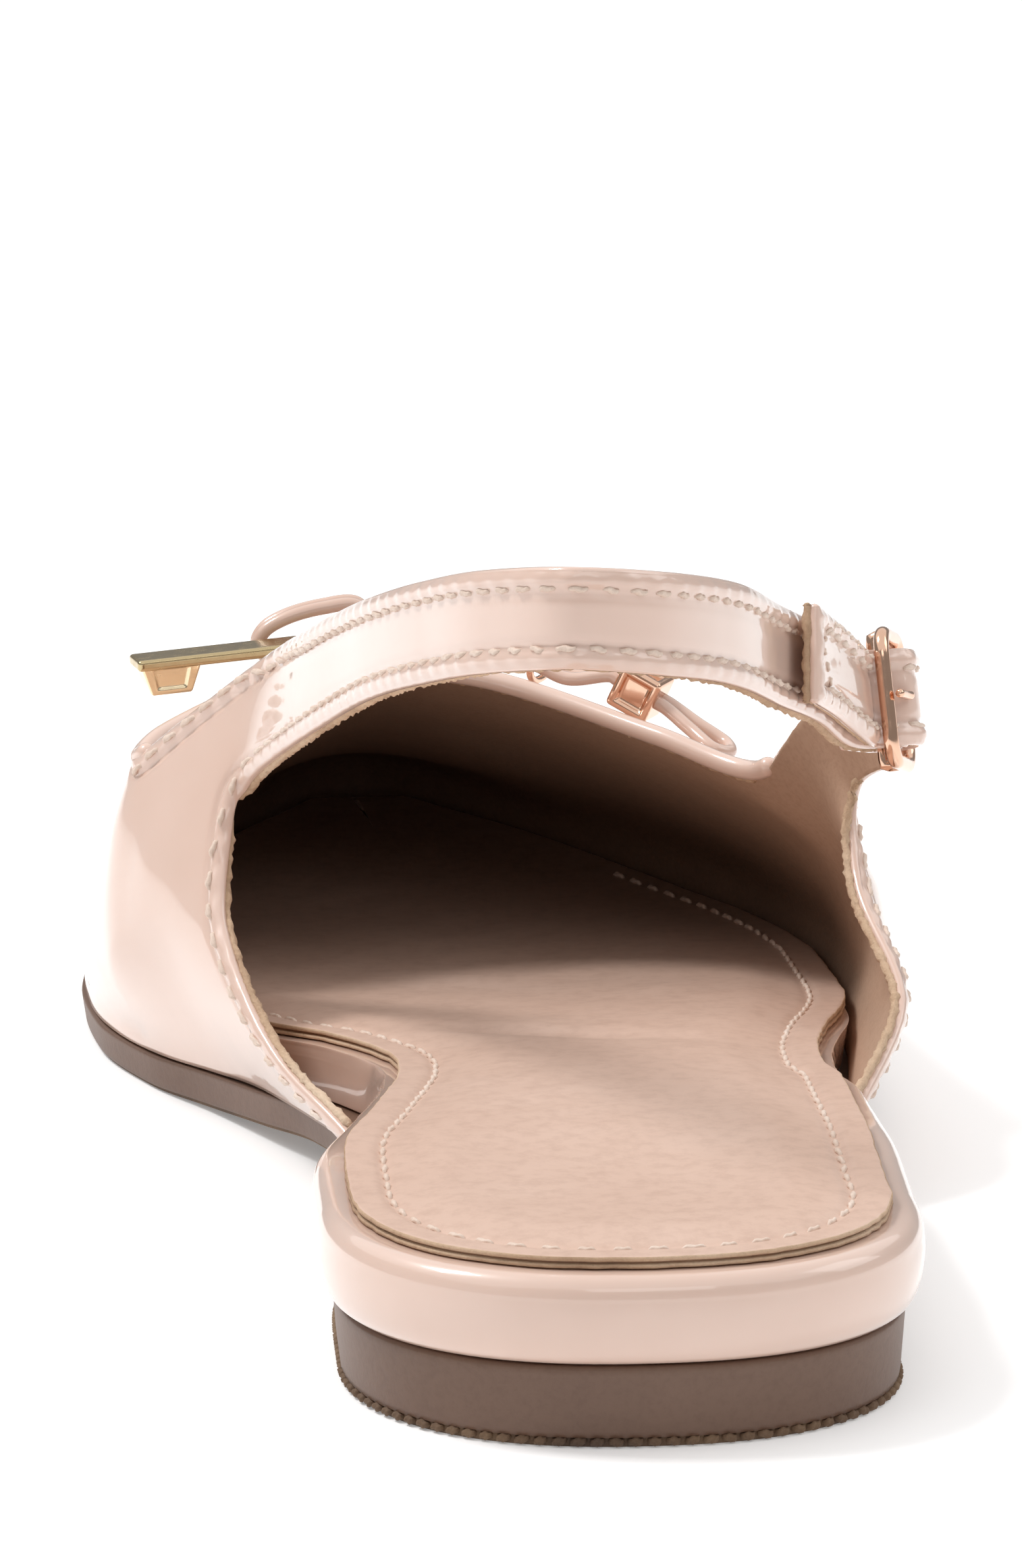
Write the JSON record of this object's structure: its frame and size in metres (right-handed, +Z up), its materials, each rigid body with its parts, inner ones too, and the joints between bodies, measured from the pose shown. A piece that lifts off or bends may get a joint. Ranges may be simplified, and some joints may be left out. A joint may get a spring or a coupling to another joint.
{
  "type": "sling back flat shoe",
  "caption": "Pointed flat shoe in glossy patent with an open heel, a strap round the heel with a side buckle, a padded heel platform and a cord bow.",
  "frame": {"origin": "middle of the heel's bearing face, on the ground", "axes": "+Y to the toe, +X to the outer side of the right foot, +Z up"},
  "size_m": [0.089, 0.2654, 0.0813],
  "materials": {
    "patent": "high gloss nude pink patent",
    "brown_sole": "matte brown unit sole",
    "insole_leather": "matte tan pink sock leather",
    "rose_gold": "polished rose gold plating"
  },
  "bodies": {
    "root": {"outsole": "brown_sole", "footbed": "patent", "insole": "insole_leather", "upper": "patent", "topline_piping": "patent", "buckle_frame": "rose_gold", "buckle_prong": "rose_gold", "bow_knot": "patent", "bow_loop_inner_1": "patent", "bow_loop_inner_2": "patent", "bow_loop_outer": "patent", "bow_strand_1": "patent", "bow_strand_2": "patent", "bow_bead": "rose_gold", "bow_ring": "rose_gold", "bow_plate": "rose_gold"}
  },
  "joints": []
}
